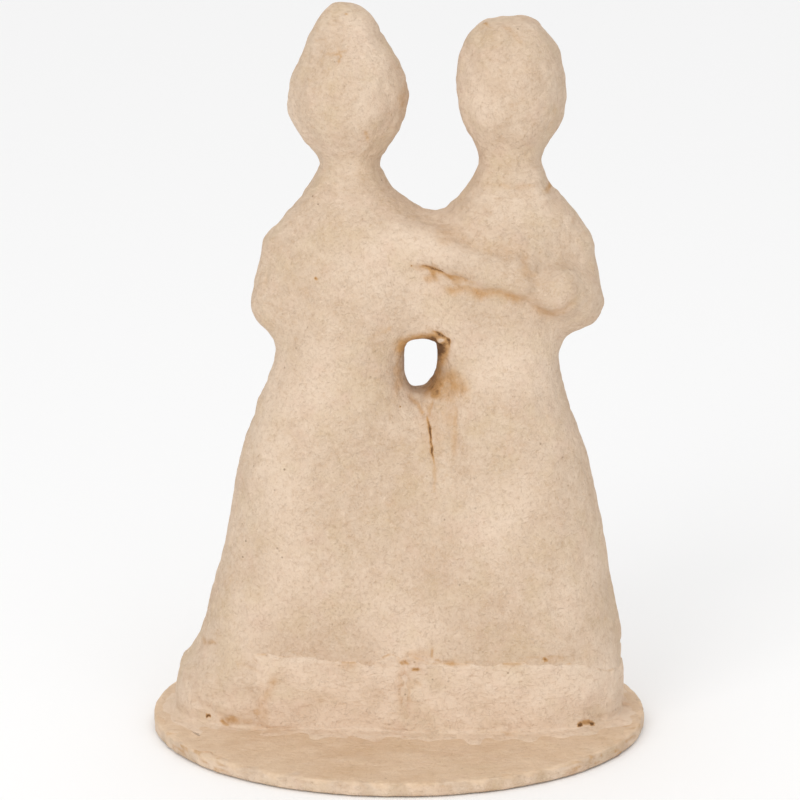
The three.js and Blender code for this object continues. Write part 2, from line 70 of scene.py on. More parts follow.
GROOM_HEAD_LEAN, GROOM_HEAD_SQUARENESS = 0.03, 2.2
ARMS = [  # joints (x, y, height, radius), and how far the arm melts into the body
    ([(-32.4, 0, CHEST + 7.2, 8.3), (-36, -3, CHEST - 7.5, 8.1)], 7),
    ([(50, 0, CHEST + 7.4, 8.3), (52.6, -3.5, CHEST - 7.4, 8.2)], 7),
    ([(-4, -8, CHEST + 14, 6.5), (15, -13.6, CHEST + 8.5, 6.4), (35, -16, CHEST + 2.5, 6.4)], 3),
    ([(52, -8, CHEST - 4, 7.6), (46, -14.5, CHEST - 2, 7.4)], 3)]
WINDOW_MIDDLE, WINDOW_HALF, WINDOW_SQUARENESS = (6.5, WAIST + 0.5), (4.7, 8.3), 4
WINDOW_TAPER = 0.026  # how much wider it gets in each millimetre up
BODY_SQUARENESS = 2.3
# How far the forms melt into each other: the bodies at the waist and, by more, at the hem, then the rest
BODIES_MELT, HEM_MELT_MORE = 14, 20
BUN_MELT, NECK_MELT, WINDOW_MELT, FOOT_MELT = 8, 4, 2, 1.6


def blend(a, b, width):
    share = np.maximum(width - np.abs(a - b), 0) / width
    return np.minimum(a, b) - share * share * width / 4


def rounded(offset, half, squareness):
    shares = [np.abs(d) / h for d, h in zip(offset, half)]
    total = np.maximum(sum(s**squareness for s in shares), 1e-9)
    ring = total ** (1 / squareness)
    steep = np.sqrt(sum((s ** (squareness - 1) / h) ** 2 for s, h in zip(shares, half)))
    return (ring - 1) * ring ** (squareness - 1) / np.maximum(steep, 1e-9)


def at_level(rows, up):
    """The oval at a height, between the levels' ovals on a cubic curve."""
    high = np.clip(np.searchsorted(LEVELS, up, side="right"), 1, len(LEVELS) - 1)
    low = high - 1
    before = np.where(low > 0, low - 1, high)
    after = np.where(high < len(LEVELS) - 1, high + 1, low)
    half = (LEVELS[high] - LEVELS[low]) / 2
    wp, wn = half / (LEVELS[low] - LEVELS[before]), half / (LEVELS[after] - LEVELS[high])
    p = (up - LEVELS[low]) / (LEVELS[high] - LEVELS[low])
    weights = (
        (before, -wp * p**3 + 2 * wp * p**2 - wp * p),
        (low, (1 + wp) * p**3 - (1.5 + 2 * wp) * p**2 + (wp - 0.5) * p + 1),
        (high, (1.5 + wn) * p**2 - (1 + wn) * p**3 + 0.5 * p),
        (after, wn * p**3 - wn * p**2))
    return [sum(w * rows[i, c] for i, w in weights) for c in (0, 1, 2)]


def body(rows, x, y, up):
    left, right, depth = at_level(rows, np.clip(up, 0, JAW))
    aside = rounded((x - (left + right) / 2, y), ((right - left) / 2, depth / 2), BODY_SQUARENESS)
    return np.maximum(aside, up - JAW)


def oval(middle_half, x, y, up, lean=0.0, squareness=2.0):
    (cx, cy, cz), half = middle_half
    return rounded((x - cx + lean * (up - cz), y - cy, up - cz), half, squareness)


def roll(joints, x, y, up):
    best = np.inf
    for a, b in zip(joints, joints[1:]):
        along = np.subtract(b[:3], a[:3])
        share = (x - a[0]) * along[0] + (y - a[1]) * along[1] + (up - a[2]) * along[2]
        share = np.clip(share / (along @ along), 0, 1)
        gap = np.sqrt((x - a[0] - share * along[0]) ** 2 + (y - a[1] - share * along[1]) ** 2
                      + (up - a[2] - share * along[2]) ** 2)
        best = np.minimum(best, gap - (a[3] + share * (b[3] - a[3])))
    return best


def window(x, up):
    """About the distance from the window's outline, which is narrower at its bottom."""
    above = up - WINDOW_MIDDLE[1]
    aside = (x - WINDOW_MIDDLE[0]) / (1 + WINDOW_TAPER * np.clip(above, -9, 9))
    return rounded((aside, above), WINDOW_HALF, WINDOW_SQUARENESS)


def couple(x, y, z):
    """About the distance from the couple's surface, under 0 inside."""
    up = z - FOOT_TOP
    lowered = np.clip(1 - up / WAIST, 0, 1)
    bodies_melt = BODIES_MELT + HEM_MELT_MORE * lowered
    field = blend(body(BRIDE_OVALS, x, y, up), body(GROOM_OVALS, x, y, up), bodies_melt)
    bride = blend(oval(BRIDE_HEAD, x, y, up), oval(BRIDE_BUN, x, y, up), BUN_MELT)
    groom = oval(GROOM_HEAD, x, y, up, GROOM_HEAD_LEAN, GROOM_HEAD_SQUARENESS)
    field = blend(blend(field, bride, NECK_MELT), groom, NECK_MELT)
    for joints, width in ARMS:
        field = blend(field, roll(joints, x, y, up), width)
    return -blend(-field, window(x, up), WINDOW_MELT)


def couple_on_foot(x, y, z):
    """The couple and the foot's top as one surface with a small fillet, for the hem strips."""
    return blend(couple(x, y, z), z - FOOT_TOP + 0 * x, FOOT_MELT)


# Sheets: the facets of a form's surface

SLOPE_STEP = 0.03


def slope_of(form, points):
    slope = np.empty_like(points)
    for axis in range(3):
        step = np.zeros(3)
        step[axis] = SLOPE_STEP
        slope[:, axis] = (form(*(points + step).T) - form(*(points - step).T)) / (2 * SLOPE_STEP)
    return slope


def onto(form, points, held, level=0.0, passes=3):
    """Moves points along the slope to where the form has that level. held is 0 where an axis is kept."""
    for _ in range(passes):
        slope = slope_of(form, points) * held
        points = points - slope * ((form(*points.T) - level) / (slope**2).sum(1))[:, None]
    return points


def facet_sheet(form, xs, ys, zs, foot=False, passes=2):
    """An even sheet of four-sided facets on the form: corners, facets, normals and held axes."""
    inside = form(xs[:, None, None], ys[None, :, None], zs[None, None, :]) < 0
    ny, nz = len(ys), len(zs)

    def cells(i, j, k):
        return (i * ny + j) * nz + k

    rings = []
    for axis in range(3):
        here, there = [slice(0, -1)] * 3, [slice(0, -1)] * 3
        there[axis] = slice(1, None)
        a, b = inside[tuple(here)], inside[tuple(there)]
        i, j, k = np.nonzero(a != b)
        far_enough = (k > 0) | (axis == 2)
        far_enough &= (i > 0) | (axis == 0)
        far_enough &= (j > 0) | (axis == 1)
        i, j, k = i[far_enough], j[far_enough], k[far_enough]
        u, v = [(0, 1, 0), (0, 0, 1), (1, 0, 0)][axis], [(0, 0, 1), (1, 0, 0), (0, 1, 0)][axis]
        corners = [cells(i - p * u[0] - q * v[0], j - p * u[1] - q * v[1], k - p * u[2] - q * v[2])
                   for p, q in ((1, 1), (0, 1), (0, 0), (1, 0))]
        ring = np.stack(corners, 1)
        outward = a[i, j, k][:, None]
        rings.append(np.where(outward, ring, ring[:, ::-1]))
    used, facets = np.unique(np.concatenate(rings), return_inverse=True)
    facets = facets.reshape(-1, 4)
    i, j, k = used // (ny * nz), used // nz % ny, used % nz
    points = np.stack([(xs[i] + xs[i + 1]) / 2, (ys[j] + ys[j + 1]) / 2, (zs[k] + zs[k + 1]) / 2], 1)
    held = np.ones_like(points)
    held[:, 1] = np.abs(points[:, 1]) > 1e-6
    if foot:
        held[:, 2] = k > 0
        points[k == 0, 2] = FOOT_TOP
    points = onto(form, points, held, passes=4)
    a, b = facets.reshape(-1), np.roll(facets, -1, axis=1).reshape(-1)
    ends, others = np.concatenate([a, b]), np.concatenate([b, a])
    count = np.bincount(ends, minlength=len(points))[:, None]
    for _ in range(passes):
        middle = np.stack([np.bincount(ends, points[others, c], len(points)) for c in range(3)], 1)
        middle = np.where(held > 0, middle / count, points)
        points = onto(form, middle, held, passes=2)
    normals = slope_of(form, points) * held
    normals /= np.linalg.norm(normals, axis=1)[:, None]
    return points, facets, normals, held


def spaced(*spans):
    """Grid lines from span to span: (start, size), ... and the last end."""
    lines = []
    for (start, size), (end, _) in zip(spans, spans[1:]):
        count = max(1, round((end - start) / size))
        lines.extend(start + (end - start) * np.arange(count) / count)
    return np.array(lines + [spans[-1][0]])


# Relief and stains

rng = np.random.default_rng(1068)


class Ripples:
    """Smooth noise of about one wavelength, from many plane waves."""

    def __init__(self, wavelength, waves=22, squash=(1, 1, 1)):
        way = rng.normal(size=(waves, 3))
        way /= np.linalg.norm(way, axis=1)[:, None]
        size = rng.uniform(0.7, 1.35, (waves, 1))
        self.ways = way * size * 2 * np.pi / wavelength * np.array(squash)
        self.starts = rng.uniform(0, 2 * np.pi, waves)

    def __call__(self, points):
        total = np.zeros(len(points))
        for way, start in zip(self.ways, self.starts):
            total += np.sin(points @ way + start)
        return total / math.sqrt(len(self.starts) / 2)


LUMPS, DENTS, GRAIN = Ripples(26), Ripples(11), Ripples(4.2)
PATCH, TEAR, FINE_TEAR = Ripples(30), Ripples(9), Ripples(3)
FOLDS = Ripples(15, squash=(1, 1, 0.5))


def off_path(x, z, path):
    """Distance from a path in the front's plane, and how far along it the nearest point is, 0 to 1."""
    lengths = [math.dist(a, b) for a, b in zip(path, path[1:])]
    best, where, before = np.full(len(x), np.inf), np.zeros(len(x)), 0
    for (ax, az), (bx, bz), length in zip(path, path[1:], lengths):
        dx, dz = bx - ax, bz - az
        share = np.clip(((x - ax) * dx + (z - az) * dz) / length**2, 0, 1)
        gap = np.hypot(x - ax - share * dx, z - az - share * dz)
        where = np.where(gap < best, (before + share * length) / sum(lengths), where)
        best = np.minimum(best, gap)
        before += length
    return best, where


def smooth(low, high, value):
    share = np.clip((value - low) / (high - low), 0, 1)
    return share * share * (3 - 2 * share)


# Creases in the front, as seen in the photograph: depth, half width, stain (partly painted shade in the
# crease), and the path (x, z)
CREASES = [
    (0.45, 1.0, 0.56, [(4, 144.9), (8, 143.6), (11, 142.4), (14, 141.6), (18.5, 140.4), (22, 139.8)]),
    (0.25, 0.4, 1.15, [(6.4, 144.4), (8.2, 143.8), (10.2, 142.7), (13.4, 141.8)]),
    (0.4, 1.6, 0.45, [(11, 137.6), (20, 137.2), (28, 136.8), (39.5, 135.4)]),
    (0.8, 1.6, 0.32, [(38.5, 135), (40.6, 132.2), (44.6, 130.4), (48.6, 131.4), (52.6, 135.4)]),
    (0.7, 2.0, 0.2, [(12, 155.6), (19.1, 152.2), (26.4, 150), (37, 148.9)]),
    (0.6, 1.3, 0.3, [(36.4, 149), (37.2, 143.7), (41, 140.8)]),
    (0.5, 1.8, 0.05, [(-30.7, 140.5), (-27.1, 135.9), (-26.6, 130)]),
    (0.5, 1.5, 0.04, [(-39.7, 133.3), (-36.1, 128.6), (-30.1, 129.6)]),
    (0.4, 0.7, 0.42, [(2, 104.4), (4.8, 101.4), (8.4, 98.2)]),
    (0.35, 0.7, 0.4, [(10.6, 103.4), (9.4, 100.6), (8.9, 98)]),
    (0.4, 0.33, 1.3, [(8.6, 98.6), (9.0, 95.5), (9.6, 91.4), (9.8, 88.4), (10.3, 84.6)]),
    (0.6, 0.45, 1.2, [(9.8, 124.4), (12.6, 123.4), (14.5, 121.8), (15.1, 119.2)]),
    (0.4, 0.45, 0.5, [(11.0, 122.6), (11.9, 120.6), (13.8, 119.4)]),
    (0.35, 1.0, 0.3, [(16.9, 105), (16.4, 96), (16, 85.7)]),
    (0.3, 1.6, 0.08, [(10.7, 86), (9.8, 57.3), (9.8, 30.5)]),
    (0.25, 0.8, 0.08, [(-38.5, 103.3), (-34.5, 104.3), (-30.5, 105.4), (-30.5, 110)]),
    (0.2, 0.6, 0.25, [(-9.4, 122.6), (-2.9, 125.8)]),
    (0.3, 0.9, 0.22, [(23.3, 167.4), (32.1, 167.3), (41.6, 167.6)]),
    (0.2, 0.45, 0.4, [(-17.4, 208.4), (-17.1, 206), (-17.9, 203.6)]),
    (0.2, 0.45, 0.35, [(-21, 206.6), (-17.6, 206.8), (-14.6, 207.8)]),
    (0.3, 0.5, 0.35, [(-9.5, 184.8), (-9.1, 181.3)]),
    (0.25, 0.5, 0.5, [(24.6, 213.9), (26.6, 213.6)]),
    (0.3, 0.7, 0.24, [(29, 215.4), (32, 214), (34, 211.5), (36.5, 209)]),
    (0.25, 0.7, 0.3, [(9.8, 87), (10.6, 82), (10.4, 76)]),
    (0.25, 1.2, 0.05, [(-23, 193.5), (-15, 190), (-5.5, 185.9)]),
    (0.25, 1.3, 0.05, [(20.8, 202), (33, 201), (44.1, 202)]),
    (0.5, 1.3, 0.1, [(-63.7, 12.9), (-60.6, 10.9), (-53.8, 7.9), (-50.9, 5)]),
    (0.4, 0.5, 0.75, [(-53.6, 7.2), (-52.6, 5.7), (-50.6, 4.9)]),
    (0.3, 1.4, 0.29, [(-36, 22.4), (-39.2, 16.5), (-42.4, 9)]),
    (0.4, 0.7, 0.35, [(-60.4, 27.7), (-54.4, 28.9)]),
    (0.3, 0.6, 0.25, [(-48.5, 24.4), (-40.8, 22.4)]),
    (0.3, 0.5, 0.8, [(0, 26), (1.6, 26.6), (3.2, 26.3)]),
    (0.3, 0.5, 0.8, [(3.8, 24.6), (6.4, 24.4)]),
    (0.3, 0.5, 0.5, [(9.8, 31), (9.9, 27.2)]),
    (0.3, 0.5, 0.5, [(9.9, 27.2), (13, 26.4), (18, 26)]),
    (0.25, 0.7, 0.3, [(3, 17.4), (4.4, 20.6), (7.6, 19)]),
    (0.25, 0.6, 0.4, [(36, 27.5), (44, 27.4), (50, 27.6)]),
]
# Stains on the front: strength, reach across and up, and the middle (x, z). The first six, in and under the
# crossed arms' creases, are partly painted shade.
STAINS_AND_SHADE = [
    (0.62, 1.6, 1.8, (9.9, 142.1)), (0.46, 2.6, 2.4, (9.8, 140.6)), (0.3, 2, 1.4, (10, 144.2)),
    (0.26, 12, 2, (27, 136.6)), (0.24, 8, 2.2, (14, 141.6)), (0.36, 3.2, 2, (17.6, 140.2)),
    (0.3, 1, 0.9, (-2.9, 126.1)), (0.35, 4, 1.6, (11, 123.5)), (0.46, 6, 5.6, (15.2, 107.6)),
    (0.85, 2.5, 3.4, (11, 106.6)), (0.4, 1.5, 4, (13.7, 115.4)), (0.26, 3.4, 5, (14.6, 100.5)),
    (0.22, 4, 9, (10, 93)), (0.3, 1.3, 8, (-0.9, 110)), (0.24, 4.5, 2.6, (14.5, 153.5)),
    (0.18, 1.6, 1.6, (-2.4, 73.6)), (0.45, 1.6, 1.2, (44.3, 165.6)), (0.22, 1.3, 1.2, (51.7, 156.9)),
    (0.24, 4.8, 2.6, (5.4, 28.4)), (0.52, 2.8, 1.7, (-50, 6.8)), (0.25, 2.8, 0.9, (-45, 6.9)),
    (0.38, 1.2, 1.5, (-42.2, 10.2)), (0.75, 1.9, 1.0, (56.2, 6.4)), (0.12, 7, 1.6, (-14.5, 176.5)),
    (0.3, 1.8, 4, (1.2, 192)), (0.2, 14, 0.9, (-12, 25.4)), (0.2, 16, 0.8, (42, 26.4)),
    (0.2, 9, 0.8, (16, 27)),
]
# Dark specks on the front: (x, z, radius)
SPECKS = [
    (0.3, 101, 0.4), (-31.7, 100.4, 0.4), (-15.1, 52.1, 0.45), (19.9, 55.5, 0.4), (-24.4, 140.8, 0.4),
    (3.6, 144.8, 0.4), (12.6, 143.6, 0.35), (43.6, 27, 0.45), (46.6, 26.8, 0.35), (-15.2, 217.4, 0.4),
    (-57.8, 7.1, 0.55), (-57.1, 7.3, 0.6), (54.1, 6.1, 1.1), (57.9, 5.5, 0.9), (27.9, 121.9, 0.35),
]
LUMP_HEIGHT, DENT_DEPTH, GRAIN_HEIGHT, FOLD_DEPTH = 0.24, 0.13, 0.075, 0.2
CORNER_HEIGHT, SCRAP_HEIGHT = 0.8, 0.6
SPECK_STAIN = 1.2  # the darkest that a stain gets


def relief(points, normals):
    """How far the paper stands out, and how stained it is, with painted shade in and under its creases, at
    points on the form.
    """
    x, y, z = points.T
    rougher = 1 + 0.45 * smooth(125, 145, z)  # from the crossed arms upwards
    lift = LUMP_HEIGHT * LUMPS(points)
    lift += rougher * (DENT_DEPTH * DENTS(points) + GRAIN_HEIGHT * GRAIN(points))
    lift -= FOLD_DEPTH * np.exp(-((FOLDS(points) / 0.1) ** 2)) * smooth(0, 1.2, PATCH(points))
    front = smooth(0.15, -0.15, normals[:, 1]) * (y < 0)
    facing = smooth(0.6, 0.1, normals[:, 1]) * (y < 6)  # the front and the window's inside
    stain = np.zeros(len(points))
    tear, fine_tear = TEAR(points), FINE_TEAR(points)
    unsteady = 1 + 0.08 * tear + 0.08 * GRAIN(points)
    torn_x, torn_z = 0.3 * fine_tear, 0.3 * tear
    for depth, width, stained, path in CREASES:
        gap, where = off_path(x + 0.12 * fine_tear, z + 0.2 * tear, path)
        ends = smooth(0, 0.22, where) * smooth(1, 0.78, where)
        lift -= depth * ends * np.exp(-((gap / width) ** 2)) * front
        # Each crease's mark is partly paper stain and partly painted shade darkening the crease.
        crease_stain_and_shade = stained * (0.35 + 0.65 * ends) * np.exp(-((gap / (1.15 * width)) ** 2))
        stain = np.maximum(stain, crease_stain_and_shade * front * unsteady)
    for strength, across, up, (sx, sz) in STAINS_AND_SHADE:
        near = np.exp(-(((x - sx + torn_x) / across) ** 2 + ((z - sz + torn_z) / up) ** 2) ** 2)
        stain = np.maximum(stain, strength * near * facing * unsteady)
    # The top corner of the folded hem at the bride's end
    lift += CORNER_HEIGHT * np.exp(-(((z - 19.2) / 1.8) ** 2)) * smooth(-61, -66, x)
    for sx, sz, radius in SPECKS:
        speck = smooth(radius, 0.5 * radius, np.hypot(x - sx, z - sz)) * front
        stain = np.maximum(stain, SPECK_STAIN * speck)
    # The window's torn rim: brown over it and on the groom's side
    rim = smooth(4, 0.8, window(x, z - FOOT_TOP)) * smooth(90, 100, z)
    browner = 0.1 + 0.56 * smooth(4, 10, x) + 0.44 * smooth(113, 119, z)
    browner *= smooth(102, 113, z) * 0.35 + 0.65
    stain = np.maximum(stain, rim * browner * unsteady * (y < 6))
    # A clean scrap of paper, torn up beside the window's top corner
    scrap = np.exp(-((((x - 12.6) / 1.2) ** 2 + ((z - 121.9) / 0.9) ** 2) ** 2)) * front
    lift += SCRAP_HEIGHT * scrap
    stain *= 1 - 0.85 * scrap
    return lift, np.clip(stain, 0, SPECK_STAIN)


# Pieces

def material_slot(node):
    if node.endswith("_shell"):
        return "moulded_pulp"
    if node.startswith("base_board"):
        return "board"
    return "kraft_disc" if node in ("base_top_paper", "base_bottom_paper") else "kraft_strip"


def add_piece(name, points, facets, stain=None, tone=None, soil=None):
    used, facets = np.unique(facets, return_inverse=True)
    facets = facets.reshape(-1, 4)
    mesh = bpy.data.meshes.new(name)
    mesh.from_pydata((points[used] * MM).tolist(), [], facets.tolist())
    mesh.polygons.foreach_set("use_smooth", [True] * len(facets))
    mesh.set_sharp_from_angle(angle=math.radians(65))
    for label, values in (("stain", stain), ("tone", tone), ("soil", soil)):
        layer = mesh.attributes.new(label, "FLOAT", "POINT")
        if values is not None:
            layer.data.foreach_set("value", values[used].astype(np.float32))
    piece = bpy.data.objects.new(name + "_look", mesh)
    bpy.context.collection.objects.link(piece)
    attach(piece, "root")
    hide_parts(name)
    return piece


def edge_of(facets, count):
    """The start and end corners of the edges that only one facet has."""
    a, b = facets.reshape(-1), np.roll(facets, -1, axis=1).reshape(-1)
    alone = np.isin(a * count + b, b * count + a, invert=True)
    return a[alone], b[alone]


def biggest_part(facets, count):
    """The largest set of facets that hang together by their edges."""
    a, b = facets.reshape(-1), np.roll(facets, -1, axis=1).reshape(-1)
    keys = np.minimum(a, b) * count + np.maximum(a, b)
    order = np.argsort(keys, kind="stable")
    shared = keys[order][1:] == keys[order][:-1]
    first, second = order[:-1][shared] // 4, order[1:][shared] // 4
    label, new = None, np.arange(len(facets))
    while label is None or (new != label).any():
        label = new.copy()
        np.minimum.at(new, first, label[second])
        np.minimum.at(new, second, label[first])
        new = new[new]
    return facets[label == np.bincount(label).argmax()]


def one_part(facets, count):
    """Leaves off crumbs, and facets where the edge meets itself at a corner."""
    for _ in range(3):
        facets = biggest_part(facets, count)
        meeting = np.bincount(np.concatenate(edge_of(facets, count)), minlength=count) > 2
        facets = facets[~meeting[facets].any(1)]
    return biggest_part(facets, count)


def closed_layer(name, outer, inner, facets, **values):
    """A closed solid between two sheets with the same facets."""
    count = len(outer)
    a, b = edge_of(facets, count)
    walls = np.stack([b, a, a + count, b + count], 1)
    every = np.concatenate([facets, facets[:, ::-1] + count, walls])
    doubled = {label: np.concatenate([v, v]) for label, v in values.items()}
    return add_piece(name, np.concatenate([outer, inner]), every, **doubled)


xs = spaced((-72, 1.15), (-66, 1.0), (-4, 0.7), (8.1, 0.27), (11.1, 0.5), (15.1, 0.75), (20, 1.0),
            (66, 1.15), (72, 0))
half_depth = spaced((0.5, 1.0), (33.5, 0))
ys = np.concatenate([-half_depth[::-1], half_depth])
zs = spaced((FOOT_TOP - 0.45, 0.9), (30.25, 1.15), (90, 0.85), (160, 1.0), (224, 0))
points, facets, normals, held = facet_sheet(couple, xs, ys, zs, foot=True)
lift, stain = relief(points, normals)
tone = 0.5 + 0.18 * PATCH(points)
skin = points + normals * lift[:, None]
inner = points
for depth in np.linspace(0.5, SHELL_WALL, 5):
    inner = onto(couple, inner, held, level=-depth, passes=1)
middle_y = points[facets][:, :, 1].mean(1)
pieces = {}
for name, side in (("front_shell", middle_y < 0), ("back_shell", middle_y > 0)):
    pieces[name] = closed_layer(name, skin, inner, facets[side], stain=stain, tone=tone)


BURIED = 0.35  # how deep the edge of a strip lies under the paper around it
MARGIN = 0.9  # how far a strip goes on under that paper
EDGE_STAIN = 0.26


def paste(name, sheet, reach, tone, thickness=0.28, soft=4.0, soil=None):
    """A strip of paper on the sheet. reach is how far a point lies inside the strip's edge."""
    points, facets, normals, lift, stain = sheet
    kept = one_part(facets[(reach[facets] > -MARGIN).all(1)], len(points))
    rise = -BURIED + (thickness + BURIED) * smooth(-0.4, soft, reach)
    outer = points + normals * (lift + rise)[:, None]
    under = points + normals * (lift - BURIED - 0.5)[:, None]
    soil = np.zeros(len(points)) if soil is None else soil
    line = np.exp(-(((reach - 0.3) / 0.6) ** 2)) * smooth(-0.2, 1.3, PATCH(points))
    stain = np.maximum(stain, EDGE_STAIN * line)
    pieces[name] = closed_layer(name, outer, under, kept, stain=stain, tone=tone, soil=soil)


sheet = points, facets, normals, lift, stain
x, y, z = points.T
up = z - FOOT_TOP
wave = 0.9 * TEAR(points) + 0.35 * FINE_TEAR(points)
over_seam = STRIP_HALF_WIDTH - np.abs(y) + wave
COLLAR, BRIDE_NECK, GROOM_NECK = LEVELS[11] + 2, LEVELS[13] + 2.5, LEVELS[12] + 2.5
OVERLAP = 0.6
BODY_TOP = COLLAR + OVERLAP
BRIDE_SIDE_END, GROOM_SIDE_END = 14, 20
BRIDE_X, GROOM_X = BRIDE_HEAD[0][0], GROOM_HEAD[0][0]
BETWEEN = (BRIDE_X + GROOM_X) / 2
LINING_HALF = (10.5, 15)


def least(*values):
    return np.minimum.reduce(np.broadcast_arrays(*values))


out_of_window = np.hypot((x - WINDOW_MIDDLE[0]) / LINING_HALF[0], (up - WINDOW_MIDDLE[1]) / LINING_HALF[1])
for name, reach in (
    ("bride_side_strip", least(over_seam, BRIDE_X - x, up - BRIDE_SIDE_END, BODY_TOP - up)),
    ("groom_side_strip", least(over_seam, x - GROOM_X, up - GROOM_SIDE_END, BODY_TOP - up)),
    ("saddle_strip", least(over_seam, x - BRIDE_X, GROOM_X - x, up - LEVELS[10] + 4, BODY_TOP - up)),
    ("bride_collar_strip", least(up - COLLAR, BRIDE_NECK - up + wave / 2, BETWEEN - x + 2)),
    ("groom_collar_strip", least(up - COLLAR, GROOM_NECK - up + wave / 2, x - BETWEEN + 2)),
    ("bride_head_strip", least(over_seam, up - BRIDE_NECK + OVERLAP, BETWEEN - x)),
    ("groom_head_strip", least(over_seam, up - GROOM_NECK + OVERLAP, x - BETWEEN)),
    ("window_lining", 12 * (1 - out_of_window) + wave),
):
    paste(name, sheet, reach, tone)

# Hem strips, from a finer sheet that runs out over the foot
hem_xs = spaced((-79, 1.0), (-70, 0.8), (70, 1.0), (79, 0))
half_depth = spaced((0.4, 0.8), (42, 0))
hem_ys = np.concatenate([-half_depth[::-1], half_depth])
hem_zs = spaced((3.8, 0.55), (7, 0.8), (33, 0))
points, facets, normals, held = facet_sheet(couple_on_foot, hem_xs, hem_ys, hem_zs)
lift, stain = relief(points, normals)
on_foot = smooth(6.5, 4.8, points[:, 2])
lift *= 1 - 0.75 * on_foot
x, y, z = points.T
away = couple(x, y, np.maximum(z, FOOT_TOP))
wave = 0.8 * TEAR(points) + 0.45 * FINE_TEAR(points)
# The front hem's torn top edge (x, z), and the tops of the other two
FRONT_HEM = [(-72, 16), (-65.1, 20.1), (-60.5, 23.6), (-56, 25.6), (-47.3, 27.9), (-34.3, 28), (-23, 26.8),
             (-8.6, 25.8), (-2.1, 29.2), (10.4, 26.9), (18.8, 25.9), (37.9, 26.3), (53.3, 24.9),
             (64.3, 20.6), (72, 20)]
CORNER_TOP, BACK_TOP = 20, 24.6
FLANGE_WIDTH, FLANGE_LIMIT = 5.5, 72.5
front_top = np.interp(x, *np.array(FRONT_HEM).T)
out = FLANGE_WIDTH + 1.2 * TEAR(points) - away
room = FLANGE_LIMIT - np.hypot(x, y)
edge = least(out, room)
front, back = 0.5 - y, 0.5 + y
flange = smooth(5.9, 5.2, z)
# Painted shadow: a darker line along the front hem strip's torn top edge.
walls = np.exp(-(((front_top - z) / 0.6) ** 2)) * smooth(0.2, 1.1, np.abs(TEAR(points))) * (y < 0)
# Painted shade: a faint darker line in the corner where the skirt meets the foot.
foot_corner_painted_shade = np.exp(-(((z - 5.3) / 0.7) ** 2)) * (0.05 + 0.2 * smooth(0.3, 1.6, PATCH(points)))
stain = np.maximum(stain, np.maximum(0.42 * walls, foot_corner_painted_shade))
sheet = points, facets, normals, lift, stain
front_wall = front_top - z + 0.35 * wave
# Each strip's reach, which ends at an x, then its thickness and how pale it is
for name, reach, thickness, pale in (
    ("hem_strip_bride_corner",
     least(edge, CORNER_TOP - z + wave, (-39.5 - x) / 3 + wave), 0.2, 0.3 + 0.3 * smooth(20, 9, z)),
    ("hem_strip_bride_front",
     least(edge, front_wall, (x + 43.5 + 2 * wave) / 6, (2.4 - x + wave) / 3, front), 0.5, 0.72),
    ("hem_strip_groom_front", least(edge, front_wall, (x - 1.2 + wave) / 2, front), 0.45, 0.7),
    ("hem_strip_back", least(edge, BACK_TOP - z + wave, x + 40.6, back), 0.45, 0.7),
):
    # The paper's edge is crisp up the skirt, and worn down to nothing on the foot
    reach = least(np.where(z < 5.6, reach / 4, reach), room)
    # Painted light, in part: the tone is raised by 0.2 on every hem strip, and by 0.25 more on the flange
    # that lies on the foot, making them paler.
    tone = pale + 0.2 + 0.06 * DENTS(points) + 0.25 * flange
    paste(name, sheet, reach, tone, thickness, soft=0.8, soil=0.2 * flange)


# The foot: a rim strip folded round the boards, and a top paper with a torn edge

def ring_facets(rings, around):
    i, j = np.meshgrid(np.arange(rings), np.arange(around), indexing="ij")
    nxt = (j + 1) % around
    return np.stack([i * around + j, (i + 1) * around + j, (i + 1) * around + nxt, i * around + nxt],
                    -1).reshape(-1, 4)


AROUND = 360
angle = np.arange(AROUND) * 2 * np.pi / AROUND
circle = np.stack([np.cos(angle), np.sin(angle), 0 * angle], 1)
at_edge = circle * FOOT_RADIUS
# The foot's radius, a little uneven from hand folding
outline = FOOT_RADIUS - 0.2 + 0.07 * TEAR(at_edge) + 0.03 * FINE_TEAR(at_edge)
# The rim strip's section: how far out from that, and how high
SECTION = [(-8, 0.42), (-4, 0.4), (-1.6, 0.4), (-0.5, 0.45), (-0.12, 0.8), (-0.05, 1.6), (0, 2.4),
           (-0.02, 3.3), (-0.05, 3.95), (-0.3, 4.32), (-0.9, 4.42), (-4, 4.2), (-8, 4.2), (-8, 3.85),
           (-3, 3.85), (-1, 3.7), (-0.65, 3.2), (-0.65, 1.4), (-1, 0.95), (-3, 0.8), (-8, 0.8)]
ring_points = []
for inset, height in SECTION:
    radius = outline + inset
    at = np.stack([radius * np.cos(angle), radius * np.sin(angle), 0 * angle + height], 1)
    outer_face = inset > -0.6
    at[:, :2] *= (1 + (0.0005 * GRAIN(at) * outer_face))[:, None]
    ring_points.append(at)
rim = np.concatenate(ring_points)
loop = ring_facets(len(SECTION), AROUND)[:, ::-1] % len(rim)
edge_soil = smooth(3.4, 4.2, rim[:, 2] + 0.5 * TEAR(rim)) + 0.35 * smooth(0.2, 1.4, TEAR(rim))
worn = np.exp(-(((np.abs(rim[:, 0]) - 60) / 12) ** 4)) * (rim[:, 1] < 0)  # near both ends, in front
torn_spots = smooth(0.5, 1.5, FINE_TEAR(rim * (0.4, 0.4, 1.8)) + 0.5 * GRAIN(rim))
rim_stain = 0.1 * np.abs(PATCH(rim)) + (0.08 + 0.28 * worn) * torn_spots
pieces["base_rim_strip"] = add_piece("base_rim_strip", rim, loop, stain=rim_stain,
                                     tone=0.65 + 0.3 * TEAR(rim), soil=np.clip(edge_soil, 0, 1))

